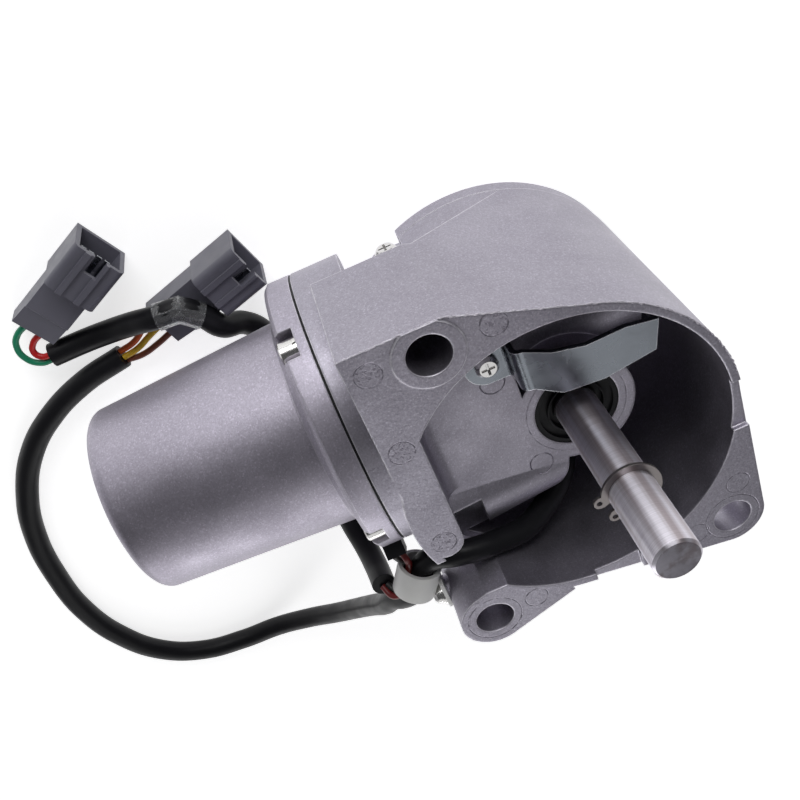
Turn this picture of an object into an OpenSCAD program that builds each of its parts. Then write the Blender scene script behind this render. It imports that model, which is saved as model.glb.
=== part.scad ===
// Stepper motor with a right angle worm drive, a cast shroud around the output shaft and two plug leads.
// The origin is the output shaft's axis on the mounting face. +Z leaves that face along the shaft,
// +X runs along the motor axis to the closed end of the can, +Y points at the lower pair of bosses.

/* [Mounting] */
// Diameter of the three mounting holes
mount_hole_d = 14; // [10:0.5:15]
// Depth of the upper mounting hole
hole_a_depth = 36; // [30:1:40]
// Diameter of the raised pad around the upper mounting hole
pad_d = 22.4; // [20:0.1:23]
// Height of that pad over the mounting face
pad_h = 0.5; // [0.2:0.1:1]
// Distance between the two lower mounting holes
boss_spacing = 91.2; // [88:0.1:94]
// Distance of the lower holes from the shaft axis along Y
boss_y = 55.9; // [54:0.1:58]
// Distance of the right lower hole from the shaft axis along X
boss_b_offset = 37; // [35:0.1:39]
// Distance of the upper hole from the shaft axis along X
hole_a_x = 39.9; // [38:0.1:41]
// Distance of the upper hole from the shaft axis along Y
hole_a_y = 59.6; // [59:0.1:60]
// Outer radius of the right lower boss
boss_b_r = 12; // [11:0.1:13]
// Outer radius of the left lower boss
boss_c_r = 12.5; // [11:0.1:13]
// Thickness of the right ear
ear_t = 13; // [10:0.5:20]
// Depth of the left boss column
column_h = 36; // [30:1:40]

/* [Shroud] */
// Outer radius of the round shroud
cup_r = 57.5; // [57:0.1:59]
// Wall of the shroud
cup_wall = 2.9; // [2:0.1:3.5]
// Depth of the casting behind the mounting face
cup_h = 88; // [87:0.5:92]
// Depth of the open cavity
cavity_h = 72; // [68:0.5:73]
// Thickness of the floor between the cavity and the rear compartment
cup_floor = 4; // [3:0.5:5]
// Offset of the shroud's centre from the shaft axis along X
cup_x = 9.5; // [9:0.1:10]
// Offset of the shroud's centre from the shaft axis along Y
cup_y = 1.5; // [1:0.1:2]
// Height of the flat top face over the shaft axis
top_h = 69.5; // [69:0.1:70.5]
// Depth of the flat top face behind the mounting face
top_depth = 48.5; // [46:0.5:50]
// Where the flat top face ends and the slanting wall begins
top_corner_x = 33; // [30:0.5:36]
// Depth of the relieved stretches of the rim
rim_relief = 2; // [1:0.1:3]
// Radius of the rear compartment
rear_r = 50; // [48:0.5:50.5]
// Thickness of the rear cover's flange
cover_t = 8; // [6:0.5:9]
// Depth of the rear cover's dished middle behind its flange
dish_h = 6; // [4:0.5:8]

/* [Gear block] */
// Depth of the block's floor under the mounting face
floor_h = 22.5; // [21:0.5:25]
// Radius of the boss around the oil seal
seal_boss_r = 21; // [19.5:0.1:22]
// Right side of the block
block_x = 16.5; // [14:0.5:18]
// Inner edge of the web
web_x = 52.5; // [51:0.1:53]
// Left edge of the web
web_end_x = 65; // [64:0.1:66]
// Radius of the web's rounded tail
tail_r = 6.2; // [5.5:0.1:6.5]
// Distance of the tail's centre under the shaft axis along Y
tail_y = 12; // [10:0.5:14]
// Lower side of the block
block_low_y = 38; // [36:0.5:40]
// Radius of the block's lower right corner
block_corner_r = 24; // [20:0.5:26]
// Radius of the ridge on the floor at its right end
ridge_r_small = 10.7; // [10.5:0.1:12]
// Radius of the ridge at the web
ridge_r_big = 15; // [13:0.5:16]
// Radius of the fillet between web and floor
web_fillet = 6; // [3:0.5:8]
// Diameter of the hole that lets the sensor lead out of the rear compartment
lead_hole_d = 10; // [9.5:0.1:12]

/* [Motor] */
// Distance between the motor axis and the shaft axis
motor_y = 19; // [19:0.1:19.2]
// Depth of the motor axis under the mounting face
motor_z = 50; // [49:0.5:51]
// Outer radius of the two ring flanges
flange_r = 50; // [49:0.5:50]
// Outer radius of the barrel in front of the housing's flange
barrel_r = 39.5; // [38:0.1:40]
// Side of the housing's flange that faces the shroud
flange_back_x = 54; // [53:0.5:56]
// Thickness of the can's flange
can_flange_t = 9.2; // [8:0.1:11]
// Thickness of the flange gasket
gasket_t = 0.8; // [0.4:0.1:1.5]
// Parting plane of the housing along X
parting_x = 71; // [70:0.5:73]
// Radius of the can beside its flange
can_r_big = 37.4; // [36:0.1:38]
// Radius of the can at its closed end
can_r_small = 33.9; // [33:0.1:35]
// Closed end of the can along X
can_end_x = 155; // [150:0.5:160]
// Corner radius of the closed end
can_corner = 4.5; // [3:0.1:6]
// Radius of the can's bore, which seats the stator
can_bore_r = 30.5; // [29:0.1:31]
// Radius of the circle of the four motor screws
screw_ring_r = 45.3; // [44:0.1:46]
// Thread diameter of the motor screws
motor_screw_d = 5; // [4:0.5:6]
// Angle of the first motor screw about the motor axis
first_screw_angle = 65; // [60:1:70]

/* [Worm drive] */
// Number of teeth on the worm wheel
wheel_teeth = 26; // [26:1:26]
// Gear module
gear_module = 1; // [1:0.1:1]
// Width of the worm wheel's toothed face
wheel_face = 10; // [8:0.5:11]
// Length of the worm's threaded stretch
worm_len = 28; // [22:1:30]
// Backlash of the mesh, measured at the pitch line on each side of a tooth
mesh_gap = 0.37; // [0.3:0.01:0.5]

/* [Output shaft] */
// Diameter of the output shaft
shaft_d = 15; // [14:0.1:15.5]
// Length of the shaft in front of the mounting face
shaft_out = 52.7; // [48:0.1:56]
// Height of the circlip groove over the mounting face
circlip_z = 21; // [18:0.5:24]
// Thickness of the circlip
circlip_t = 1; // [0.8:0.1:1.5]
// Outer radius of the circlip's ring
circlip_r = 9.8; // [9:0.1:10.5]
// Running clearance between the shaft and its bearings and seal
run_gap = 0.03; // [0.02:0.01:0.08]

/* [Guard strap] */
// Thickness of the strap's sheet metal
strap_t = 2; // [1.5:0.1:2.5]
// Depth of the strap's front face under the mounting face
strap_front_h = 9; // [7:0.5:11]
// Width of the strap's tab
strap_w = 15; // [13:0.5:16]

/* [Leads] */
// Diameter of both sleeved leads
lead_d = 9; // [8:0.1:9.4]
// Diameter of a single wire
wire_d = 2.4; // [2:0.1:2.6]
// Inner radius of the nylon clamp
clamp_bore_r = 6.6; // [6.5:0.1:7]
// Thickness of the clamp's band
clamp_t = 1.4; // [1:0.1:2]
// Width of the clamp's band
clamp_w = 12; // [10:0.5:14]
// Width of a plug's body
plug_w = 19; // [17:0.5:20]
// Height of a plug's body
plug_h = 19; // [17:0.5:19.5]
// Length of a plug
plug_len = 42; // [38:0.5:44]
// Wall of a plug's mouth
plug_wall = 1.8; // [1.2:0.1:2.4]
// Depth of a plug's mouth
mouth_h = 12; // [8:0.5:14]

/* [Hidden] */
$fn = 72;

// Overlap of two shapes that are joined or of a cutter over the face it opens
eps = 0.02;
over = 1;
// Half width of cuts and slabs that reach past the whole casting
reach = 2 * cup_r;
seat_gap = 0.05;
alloy = [0.62, 0.6, 0.63];
steel = [0.55, 0.55, 0.57];
zinc = [0.78, 0.78, 0.76];
black = [0.08, 0.08, 0.09];

boss_b = [-boss_b_offset, boss_y];
boss_c = [boss_spacing - boss_b_offset, boss_y];
hole_a = [hole_a_x, -hole_a_y];
cup_c = [cup_x, cup_y];
inner_r = cup_r - cup_wall;
shaft_r = shaft_d / 2;
can_flange_x = parting_x + gasket_t;

// Places a shape whose own +Z axis becomes the motor axis, pointing at the can's end
module on_motor_axis(x = 0) { translate([x, -motor_y, -motor_z]) rotate([90, 0, 90]) children(); }
module tube(r, bore_r, h) { difference() { cylinder(r = r, h = h); translate([0, 0, -over])
    cylinder(r = bore_r, h = h + 2 * over); } }
module slab(z_low, z_high) { translate([0, 0, z_low]) linear_extrude(height = z_high - z_low) children(); }

// Quadrangle under the two outer tangents of two circles, a hair inside them
function side(a, b) = atan2(b[1] - a[1], b[0] - a[0]);
function gap_len(a, b) = norm([b[0] - a[0], b[1] - a[1]]);
function at_angle(c, r, t) = [c[0] + r * cos(t), c[1] + r * sin(t)];
module tangent_web(a, ra, b, rb) {
    inset = 0.05;
    t = side(a, b);
    s = acos((ra - rb) / gap_len(a, b));
    polygon([at_angle(a, ra - inset, t + s), at_angle(b, rb - inset, t + s),
             at_angle(b, rb - inset, t - s), at_angle(a, ra - inset, t - s)]);
}

/* Gear housing */
ear_c_pad = [28, 46.8];
top_corner = [top_corner_x, -top_h];
wall_touch = at_angle(cup_c, cup_r - 0.05,
    side(cup_c, top_corner) - acos(cup_r / gap_len(cup_c, top_corner)));
barrel_start = 20;
seal_h = 7;
front_bearing_h = 9;
bearing_r = 16;
seal_r = 15;
seal_bottom = floor_h + seal_h;
front_bearing_top = seal_bottom + 1.5;
hub_top = front_bearing_top + front_bearing_h;
rear_bearing_top = 2 * motor_z - hub_top + 2.5;
rear_bearing_h = 9;
tunnel_r = 13.5;
tunnel_end = -35;
worm_bore_r = 8.5;
end_bearing_r = 9.5;
end_bearing_h = 6;
end_bearing_x = -28;
motor_bearing_r = 13;
motor_bearing_h = 8;
motor_bearing_x = 58;
outlet_x = 42;
outlet_low_y = 19.5;
outlet_high_y = 42.5;
outlet_h = 27;
lead_hole = [5, 37];
clamp_screw_at = [66.7, 55, -20];
clamp_pad_r = 6;
clamp_screw_depth = 4.4;
sensor_screw_x = 28;
ridge_z = -33;
corner_out = 9.5;
// Flat land behind the block, where the shroud and its cover stop short of the barrel
land = [31.5, -45.5];
plug_boss_r = 6;
plug_boss_h = 62.5;

// Round post and tangent wall between two heights
module post(c, r, z_low, z_high) {
    translate([c[0], c[1], z_low]) cylinder(r = r, h = z_high - z_low, $fn = 144);
}
module web_wall(a, ra, b, rb, z_low, z_high) { slab(z_low, z_high) tangent_web(a, ra, b, rb); }
module shroud() {
    post(cup_c, cup_r, -cup_h, 0);
    web_wall(cup_c, cup_r, boss_b, boss_b_r, -ear_t, 0);
    post(boss_b, boss_b_r, -ear_t, 0);
    web_wall(ear_c_pad, boss_c_r, boss_c, boss_c_r, -column_h, 0);
    post(boss_c, boss_c_r, -column_h, 0);
    translate([clamp_screw_at[0] - 10, clamp_screw_at[1], clamp_screw_at[2]]) rotate([0, 90, 0])
        cylinder(r = clamp_pad_r, h = 10);
}
// The block is flat against the mounting face and the top face, and round about the motor axis behind them
module block() {
    slant_x = top_corner_x - 2.5;
    intersection() {
        union() {
            slab(-cup_h, 0) polygon([cup_c, wall_touch, top_corner, [web_end_x, -top_h], [web_end_x, tail_y],
                [web_end_x - tail_r, tail_y], [web_x, cup_y]]);
            post([web_end_x - tail_r, tail_y], tail_r, -cup_h, 0);
        }
        translate([0, reach, 0]) rotate([90, 0, 0]) linear_extrude(height = 2 * reach)
            polygon([[-60, over], [80, over], [80, -top_depth], [slant_x, -top_depth],
                     [slant_x - cup_h + top_depth, -cup_h], [-60, -cup_h]]);
    }
}
// Round body about the motor axis: the barrel, the flange in front of the can and the boss of the plug screw
module barrel() {
    intersection() {
        union() {
            on_motor_axis(barrel_start) cylinder(r = barrel_r, h = web_end_x - barrel_start, $fn = 144);
            translate([plug_screw_at[0], -plug_boss_h, plug_screw_at[1]]) rotate([-90, 0, 0])
                cylinder(r = plug_boss_r, h = plug_boss_h - motor_y);
        }
        translate([0, -100, -cup_h]) cube([100, 200, cup_h - floor_h]);
    }
    intersection() {
        on_motor_axis(flange_back_x) cylinder(r = flange_r, h = web_end_x - flange_back_x + eps, $fn = 144);
        translate([0, -100, -cup_h]) cube([100, 200, cup_h - top_depth]);
    }
    on_motor_axis(web_end_x) cylinder(r = flange_r, h = parting_x - web_end_x, $fn = 144);
}
module behind_land(z_low, z_high) {
    translate([land[0], -100, z_low]) cube([60, 100 + land[1], z_high - z_low]);
}
module cavity() {
    difference() {
        post(cup_c, inner_r, -cavity_h, over);
        translate([web_x, -80, -cavity_h - over]) cube([20, 80 + tail_y, cavity_h + 3 * over]);
        post([web_end_x - tail_r, tail_y], tail_r, -cavity_h - over, 2 * over);
    }
}
module inner_plan(z_low, z_high) {
    corner = [block_x + block_corner_r - corner_out, block_low_y - block_corner_r];
    intersection() {
        union() {
            translate([block_x, -60, z_low]) cube([60, 60 + corner[1], z_high - z_low]);
            translate([corner[0], corner[1] - over, z_low]) cube([40, block_corner_r + over, z_high - z_low]);
            post(corner, block_corner_r, z_low, z_high);
        }
        post(cup_c, inner_r + 1, z_low - over, z_high + over);
    }
}
module inner_block() {
    inner_plan(-cavity_h - 0.5, ridge_z);
    intersection() {
        inner_plan(ridge_z - over, -floor_h);
        translate([-60, -60, ridge_z - over]) cube([140, 60 + block_low_y - ridge_r_big + 1, 40]);
    }
    post([0, 0], seal_boss_r, -cavity_h - 0.5, -floor_h);
    intersection() {
        inner_plan(-floor_h - 10, 0);
        translate([block_x - corner_out, block_low_y - ridge_r_big + 1, ridge_z]) rotate([0, 90, 0])
            cylinder(r1 = ridge_r_small, r2 = ridge_r_big, h = web_x + 6 - block_x + corner_out, $fn = 96);
    }
    on_motor_axis(tunnel_end) cylinder(r = tunnel_r, h = block_x - tunnel_end + over);
    intersection() {
        difference() {
            translate([web_x - web_fillet, -45, -floor_h - 0.5])
                cube([web_fillet + 1, 45 + tail_y, web_fillet + 0.5]);
            translate([web_x - web_fillet, -50, web_fillet - floor_h]) rotate([-90, 0, 0])
                cylinder(r = web_fillet, h = 100);
        }
        post(cup_c, inner_r + 1, -floor_h - 1, 0);
    }
}
module screw_ring(x, r, h) {
    for (i = [0:3]) on_motor_axis(x) rotate([0, 0, first_screw_angle + 90 * i])
        translate([screw_ring_r, 0, 0]) cylinder(r = r, h = h);
}
module housing_cuts() {
    for (p = [boss_b, boss_c]) translate([p[0], p[1], -cup_h])
        cylinder(d = mount_hole_d, h = cup_h + over);
    translate([hole_a[0], hole_a[1], -hole_a_depth])
        cylinder(d = mount_hole_d, h = hole_a_depth + pad_h + over);
    translate([0, 0, -seal_bottom]) cylinder(r = seal_r, h = seal_h + over);
    translate([0, 0, -seal_bottom - 2]) cylinder(r = shaft_r + 3, h = 4);
    translate([0, 0, -cup_h]) cylinder(r = bearing_r, h = cup_h - front_bearing_top);
    translate([cup_x, cup_y, -cup_h - over])
        cylinder(r = rear_r, h = cup_h - cavity_h - cup_floor + over, $fn = 144);
    on_motor_axis(end_bearing_x) cylinder(r = worm_bore_r, h = motor_bearing_x - end_bearing_x + eps);
    on_motor_axis(end_bearing_x) cylinder(r = end_bearing_r, h = end_bearing_h);
    on_motor_axis(motor_bearing_x) cylinder(r = motor_bearing_r, h = parting_x - motor_bearing_x + over);
    screw_ring(parting_x - 12, motor_screw_d / 2, 14);
    translate([lead_hole[0], lead_hole[1], -cavity_h - cup_floor - over])
        cylinder(d = lead_hole_d, h = cup_floor + 2 * over);
    translate([-50, -3, -rim_relief]) cube([12, 20, rim_relief + over]);
    translate([-2, 54, -rim_relief]) cube([17, 10, rim_relief + over]);
    translate([strap_screw_at[0], strap_screw_at[1], -floor_h - 8]) cylinder(r = 2, h = 8 + over);
    translate([plug_screw_at[0], -plug_boss_h - over, plug_screw_at[1]]) rotate([-90, 0, 0])
        cylinder(r = 2.5, h = 8);
    translate([clamp_screw_at[0] + over, clamp_screw_at[1], clamp_screw_at[2]]) rotate([0, -90, 0])
        cylinder(r = 2, h = clamp_screw_depth + over);
    for (s = [-1, 1]) translate([s * sensor_screw_x, 0, -cavity_h - cup_floor - over])
        cylinder(r = 1.55, h = 3 + over);
    cover_screw_places() translate([0, 0, -cup_h - over]) cylinder(r = 1.6, h = 9);
}
module gear_housing() {
    color(alloy) difference() {
        union() {
            difference() {
                union() {
                    difference() {
                        union() {
                            shroud();
                            block();
                        }
                        cavity();
                    }
                    inner_block();
                }
                behind_land(-cup_h - over, -top_depth);
            }
            barrel();
            intersection() {
                translate([hole_a[0], hole_a[1], -eps]) cylinder(d = pad_d, h = pad_h + eps);
                translate([0, -top_h, -over]) cube([web_end_x, top_h, 3]);
            }
        }
        translate([outlet_x, outlet_low_y, -outlet_h])
            cube([web_end_x - outlet_x, outlet_high_y - outlet_low_y, outlet_h + over]);
        // The machined face that the can's gasket lies on
        translate([parting_x, -reach, -reach]) cube([reach, 2 * reach, 2 * reach]);
        housing_cuts();
    }
}

/* Covers and casings */
cover_r = cup_r - 0.3;
cover_gap = 0.6;
cover_screw_ring = (rear_r + cup_r) / 2 - 0.2;
cover_screw_count = 6;
dish_r = rear_r - 5;
dish_wall = 3;
module cover_screw_places() {
    for (i = [0:cover_screw_count - 1])
        translate(at_angle(cup_c, cover_screw_ring, 30 + 360 * i / cover_screw_count)) children();
}
// Keeps the cover and its gasket clear of the land and of the flange
module cover_outline(z_low, z_high) {
    difference() {
        children();
        behind_land(z_low - over, z_high + over);
        translate([web_end_x - cover_gap, -reach, z_low - over])
            cube([reach, 2 * reach, z_high - z_low + 2 * over]);
    }
}
module back_cover() {
    low = -cup_h - cover_t;
    color(alloy) difference() {
        union() {
            cover_outline(low, -cup_h) {
                translate([cup_x, cup_y, low]) cylinder(r1 = cover_r - 1, r2 = cover_r, h = 1, $fn = 144);
                translate([cup_x, cup_y, low + 1])
                    cylinder(r = cover_r, h = cover_t - 1 - gasket_t, $fn = 144);
            }
            translate([cup_x, cup_y, low - dish_h])
                cylinder(r1 = dish_r - 2, r2 = dish_r, h = dish_h + eps, $fn = 144);
        }
        translate([cup_x, cup_y, low - dish_h + dish_wall])
            cylinder(r = dish_r - dish_wall, h = dish_h + cover_t, $fn = 144);
        cover_screw_places() translate([0, 0, low - over]) cylinder(r = 1.7, h = cover_t + 2 * over);
        cover_screw_places() translate([0, 0, low - over]) cylinder(r = 3.1, h = 3.2 + over);
    }
}
module cover_gasket() {
    color(black) difference() {
        cover_outline(-cup_h - gasket_t, -cup_h)
            translate([cup_x, cup_y, -cup_h - gasket_t]) tube(cover_r, rear_r, gasket_t);
        cover_screw_places() translate([0, 0, -cup_h - 2]) cylinder(r = 1.7, h = 3);
    }
}
module cover_screws() {
    low = -cup_h - cover_t;
    color(steel) cover_screw_places() difference() {
        union() {
            translate([0, 0, low + 0.2]) cylinder(r = 2.9, h = 3);
            translate([0, 0, low + 3]) cylinder(r = 1.55, h = 12);
        }
        translate([0, 0, low]) cylinder(r = 1.4, h = 1.8, $fn = 6);
    }
}
module pocket(x, depth) {
    width = 11;
    for (i = [0:3]) on_motor_axis(x) rotate([0, 0, first_screw_angle + 90 * i]) {
        translate([screw_ring_r, 0, 0]) cylinder(d = width, h = depth);
        translate([screw_ring_r, -width / 2, 0]) cube([20, width, depth]);
    }
}
screw_seat_x = can_flange_x + 3.4;
grommet_angle = 35;
grommet_in = 46.5;
grommet_x = 73.2;
grommet_w = 12;
grommet_l = 7;
module grommet_block(r_out) {
    on_motor_axis(grommet_x) rotate([0, 0, grommet_angle])
        translate([grommet_in, -grommet_w / 2, 0]) cube([r_out - grommet_in, grommet_w, grommet_l]);
}
module motor_can() {
    lip = 1.5;
    end_wall = 5;
    can_len = can_end_x - can_flange_x;
    taper = [can_corner, can_len - can_corner];
    color(alloy) difference() {
        on_motor_axis(can_flange_x) rotate_extrude($fn = 144) polygon(concat(
            [[0, 0], [flange_r, 0], [flange_r, can_flange_t - lip], [flange_r - lip, can_flange_t],
             [can_r_big + 3, can_flange_t], [can_r_big, can_flange_t + 3]],
            [for (a = [0:15:90])
                [can_r_small - can_corner + can_corner * cos(a), taper[1] + can_corner * sin(a)]],
            [[0, can_len]]));
        on_motor_axis(can_flange_x - over)
            cylinder(r = can_bore_r, h = rotor_rear_x - can_flange_x + over, $fn = 96);
        on_motor_axis(rotor_rear_x - over) cylinder(r = rotor_rear_r, h = rotor_rear_h + 0.6 + over);
        on_motor_axis(rotor_rear_x - over)
            tube(can_bore_r - 2, rotor_rear_r + 4, can_end_x - end_wall - rotor_rear_x + over);
        screw_ring(can_flange_x - over, motor_screw_d / 2 + 0.25, can_flange_t + 5);
        pocket(screw_seat_x, can_flange_t + 5);
        grommet_block(60);
        on_motor_axis(grommet_x + grommet_l / 2) rotate([0, 90, grommet_angle])
            translate([0, 0, can_bore_r - 2]) cylinder(r = 2.8, h = 20);
    }
}
module flange_gasket() {
    color(black) difference() {
        on_motor_axis(parting_x) tube(flange_r - 0.4, can_bore_r + 6, gasket_t, $fn = 144);
        screw_ring(parting_x - 1, motor_screw_d / 2 + 0.25, 3);
    }
}
washer_t = 1.2;
module motor_washers() {
    color(steel) for (i = [0:3]) on_motor_axis(screw_seat_x) rotate([0, 0, first_screw_angle + 90 * i])
        translate([screw_ring_r, 0, 0]) difference() { tube(4.3, 2.7, washer_t);
            rotate([20, 0, 0]) translate([2, -0.3, -3]) cube([4, 0.6, 8]); }
}
module motor_screws() {
    head_r = 4.25;
    head_h = 5;
    shank = 11;
    color(steel) for (i = [0:3]) on_motor_axis(screw_seat_x + washer_t)
        rotate([0, 0, first_screw_angle + 90 * i]) translate([screw_ring_r, 0, 0]) difference() {
            union() {
                cylinder(r = head_r, h = head_h - 0.5);
                translate([0, 0, head_h - 0.5]) cylinder(r1 = head_r, r2 = head_r - 0.5, h = 0.5);
                translate([0, 0, -shank]) cylinder(r = motor_screw_d / 2 - seat_gap, h = shank + eps);
            }
            translate([0, 0, head_h - 2.6]) cylinder(r = 2.31, h = 4, $fn = 6);
        }
}

/* Motor inside the can */
stator_x = 88;
stator_len = 50;
rotor_rear_x = stator_x + stator_len + 4;
rotor_rear_h = 6;
rotor_rear_r = 13;
pole_count = 8;
rotor_r = 17.6;
air_gap = 0.3;
module pole_ring() { for (i = [0:pole_count - 1]) rotate(i * 360 / pole_count) children(); }
module stator_core() {
    color(steel) on_motor_axis(stator_x) linear_extrude(height = stator_len) {
        difference() { circle(r = can_bore_r - seat_gap, $fn = 96); circle(r = can_bore_r - 4); }
        intersection() {
            pole_ring() union() {
                translate([rotor_r + air_gap, -2.6]) square([12, 5.2]);
                translate([rotor_r - 3, -5]) square([5.6, 10]);
            }
            difference() { circle(r = can_bore_r - 1, $fn = 96); circle(r = rotor_r + air_gap, $fn = 96); }
        }
    }
}
module stator_coils() {
    gap = 0.2;
    coil_out = 3.2;
    color([0.72, 0.38, 0.2]) on_motor_axis(stator_x - coil_out) pole_ring()
        difference() {
            translate([rotor_r + 3.2, -4.8, 0]) cube([5.2, 9.6, stator_len + 2 * coil_out]);
            translate([rotor_r, -2.6 - gap, coil_out - gap]) cube([15, 5.2 + 2 * gap, stator_len + 2 * gap]);
        }
}
magnet_l = 8;
rotor_len = 46;
rotor_x = stator_x + (stator_len - rotor_len) / 2;
module rotor() {
    stack = (rotor_len - magnet_l) / 2;
    teeth = 50;
    tooth_h = 0.7;
    color(steel) for (k = [0, 1]) on_motor_axis(rotor_x + k * (stack + magnet_l)) difference() {
        linear_extrude(height = stack) polygon([for (i = [0:teeth - 1]) for (s = [0:3])
            at_angle([0, 0], rotor_r - (s > 1 ? tooth_h : 0),
                (i + s * 0.25 + (s % 2) * 0.1 + k / 2) * 360 / teeth)]);
        translate([0, 0, -over]) cylinder(r = rotor_shaft_r, h = stack + 2 * over);
    }
}
module rotor_magnet() {
    color(black) on_motor_axis(rotor_x + (rotor_len - magnet_l) / 2)
        tube(rotor_r - 2, rotor_shaft_r, magnet_l);
}

/* Worm drive */
rotor_shaft_r = 5;
pitch_r = gear_module * wheel_teeth / 2;
worm_pitch_r = motor_y - pitch_r;
lead_slant = atan2(gear_module, 2 * worm_pitch_r);
thread_pitch = PI * gear_module;
addendum = 0.9 * gear_module;
dedendum = 1.4 * gear_module;
flank = tan(20);
tooth_half = thread_pitch / 4 - mesh_gap / 2;
// Radius of the worm's surface at x along its axis and at angle t, with its thread centred on x = 0 at t = 0
function thread_off(x, t) = let (p = x / thread_pitch - t / 360) abs(p - round(p)) * thread_pitch;
function worm_r(x, t) = let (h = (tooth_half - thread_off(x, t)) / flank)
    worm_pitch_r + max(-dedendum, min(addendum, h));
worm_steps = 6;
worm_sides = 24;
module worm_thread() {
    rings = round(worm_len / thread_pitch) * worm_steps;
    points = [for (i = [0:rings]) for (j = [0:worm_sides - 1])
        let (x = (i - rings / 2) * thread_pitch / worm_steps, t = 360 * j / worm_sides, r = worm_r(x, t))
        [r * cos(t), r * sin(t), x]];
    faces = concat([[for (j = [0:worm_sides - 1]) j]],
        [[for (j = [worm_sides - 1:-1:0]) rings * worm_sides + j]],
        [for (i = [0:rings - 1]) for (j = [0:worm_sides - 1]) for (k = [0, 1])
            let (a = i * worm_sides + j, b = i * worm_sides + (j + 1) % worm_sides)
            k == 0 ? [a, a + worm_sides, b + worm_sides] : [a, b + worm_sides, b]]);
    polyhedron(points, faces, convexity = 8);
}
worm_core = worm_pitch_r - dedendum - 0.15;
module worm_shaft() {
    color(steel) {
        on_motor_axis() worm_thread();
        on_motor_axis(end_bearing_x + 0.4) cylinder(r = 3.5 - run_gap, h = end_bearing_h);
        on_motor_axis(end_bearing_x + end_bearing_h + 0.4)
            cylinder(r = worm_core, h = motor_bearing_x - end_bearing_x - end_bearing_h);
        on_motor_axis(motor_bearing_x + 0.3) 
            cylinder(r = rotor_shaft_r - run_gap, h = rotor_rear_x + rotor_rear_h + 0.2 - motor_bearing_x);
    }
}
module bearing(r, bore_r, h) {
    shield = 0.4;
    lip = (r - bore_r) * 0.25;
    difference() {
        tube(r, bore_r, h, $fn = 96);
        for (z = [-over, h - shield]) translate([0, 0, z]) tube(r - lip, bore_r + lip, shield + over);
    }
}
module rotor_front_bearing() {
    color(steel) on_motor_axis(motor_bearing_x)
        bearing(motor_bearing_r - seat_gap, rotor_shaft_r, motor_bearing_h);
}
module rotor_rear_bearing() {
    color(steel) on_motor_axis(rotor_rear_x + 0.3)
        bearing(rotor_rear_r - seat_gap, rotor_shaft_r, rotor_rear_h);
}
module worm_end_bearing() {
    color(steel) on_motor_axis(end_bearing_x) bearing(end_bearing_r - seat_gap, 3.5, end_bearing_h);
}
key_w = 4;
key_h = 2.2;
module worm_wheel() {
    root_r = pitch_r - dedendum;
    hub_r = 10;
    tooth_len = wheel_face / cos(lead_slant);
    color([0.78, 0.62, 0.32]) difference() {
        union() {
            translate([0, 0, -motor_z - wheel_face / 2]) cylinder(r = root_r, h = wheel_face, $fn = 96);
            translate([0, 0, -rear_bearing_top]) cylinder(r = hub_r, h = rear_bearing_top - hub_top);
            for (i = [0:wheel_teeth - 1]) translate([0, 0, -motor_z])
                rotate([0, 0, -90 + (i + 0.5) * 360 / wheel_teeth]) translate([pitch_r, 0, 0])
                rotate([-lead_slant, 0, 0]) translate([0, 0, -tooth_len / 2 + 0.1])
                linear_extrude(height = tooth_len - 0.2) wheel_tooth();
        }
        translate([0, 0, -80]) cylinder(r = shaft_r, h = 80);
        translate([0, -key_w / 2, -rear_bearing_top - over]) cube([shaft_r + key_h / 2, key_w, 40]);
    }
}
module wheel_tooth() {
    half = tooth_half;
    polygon([[-dedendum - 0.3, -half - 0.36 * dedendum], [addendum, -half + 0.36 * addendum],
             [addendum, half - 0.36 * addendum], [-dedendum - 0.3, half + 0.36 * dedendum]]);
}
key_len = 18;
module key_block(gap) {
    translate([shaft_r - key_h / 2 - gap, -key_w / 2 + seat_gap - gap, -motor_z - key_len / 2 - gap])
        cube([key_h - seat_gap + gap, key_w - 2 * seat_gap + 2 * gap, key_len + 2 * gap]);
}
module wheel_key() { color(steel) key_block(0); }
shaft_rear = rear_bearing_top + rear_bearing_h + 3;
tail_shaft_r = 4;
sensor_standoff = 1.5;
sensor_top = cavity_h + cup_floor + sensor_standoff;
// How far the sensor stands out of the casting's rear face
sensor_proud = 0.5;
sensor_h = cup_h + sensor_proud - sensor_top;
// How far the shaft's tail stays short of the sensor's rear face
tail_inset = 2;
module output_shaft() {
    color([0.36, 0.35, 0.38]) difference() {
        union() {
            translate([0, 0, -shaft_rear]) cylinder(r = shaft_r - run_gap, h = shaft_rear + shaft_out - 0.8);
            translate([0, 0, shaft_out - 0.8 - eps])
                cylinder(r1 = shaft_r - run_gap, r2 = shaft_r - 0.8, h = 0.8);
            translate([0, 0, -sensor_top - sensor_h + tail_inset])
                cylinder(r = tail_shaft_r, h = sensor_top + sensor_h - tail_inset - shaft_rear + over);
        }
        key_block(0.03);
        translate([0, 0, circlip_z]) tube(shaft_r + 2, shaft_r - 0.6, circlip_t + 0.1);
        translate([0, 0, -rear_clip_z - 0.1]) tube(shaft_r + 2, shaft_r - 0.6, circlip_t + 0.1);
    }
}
rear_clip_z = rear_bearing_top + rear_bearing_h + circlip_t + 0.1;
module circlip(out_r, lug) {
    difference() {
        union() {
            cylinder(r = out_r, h = circlip_t);
            for (s = [-1, 1]) rotate([0, 0, s * 24]) translate([out_r + 0.4, 0, 0])
                cylinder(r = lug, h = circlip_t);
        }
        translate([0, 0, -over]) cylinder(r = shaft_r - 0.5, h = 5);
        for (s = [-1, 1]) rotate([0, 0, s * 24]) translate([out_r + 0.7, 0, -over]) cylinder(r = 0.9, h = 5);
        translate([0, -1.8, -over]) cube([20, 3.6, 5]);
    }
}
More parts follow.
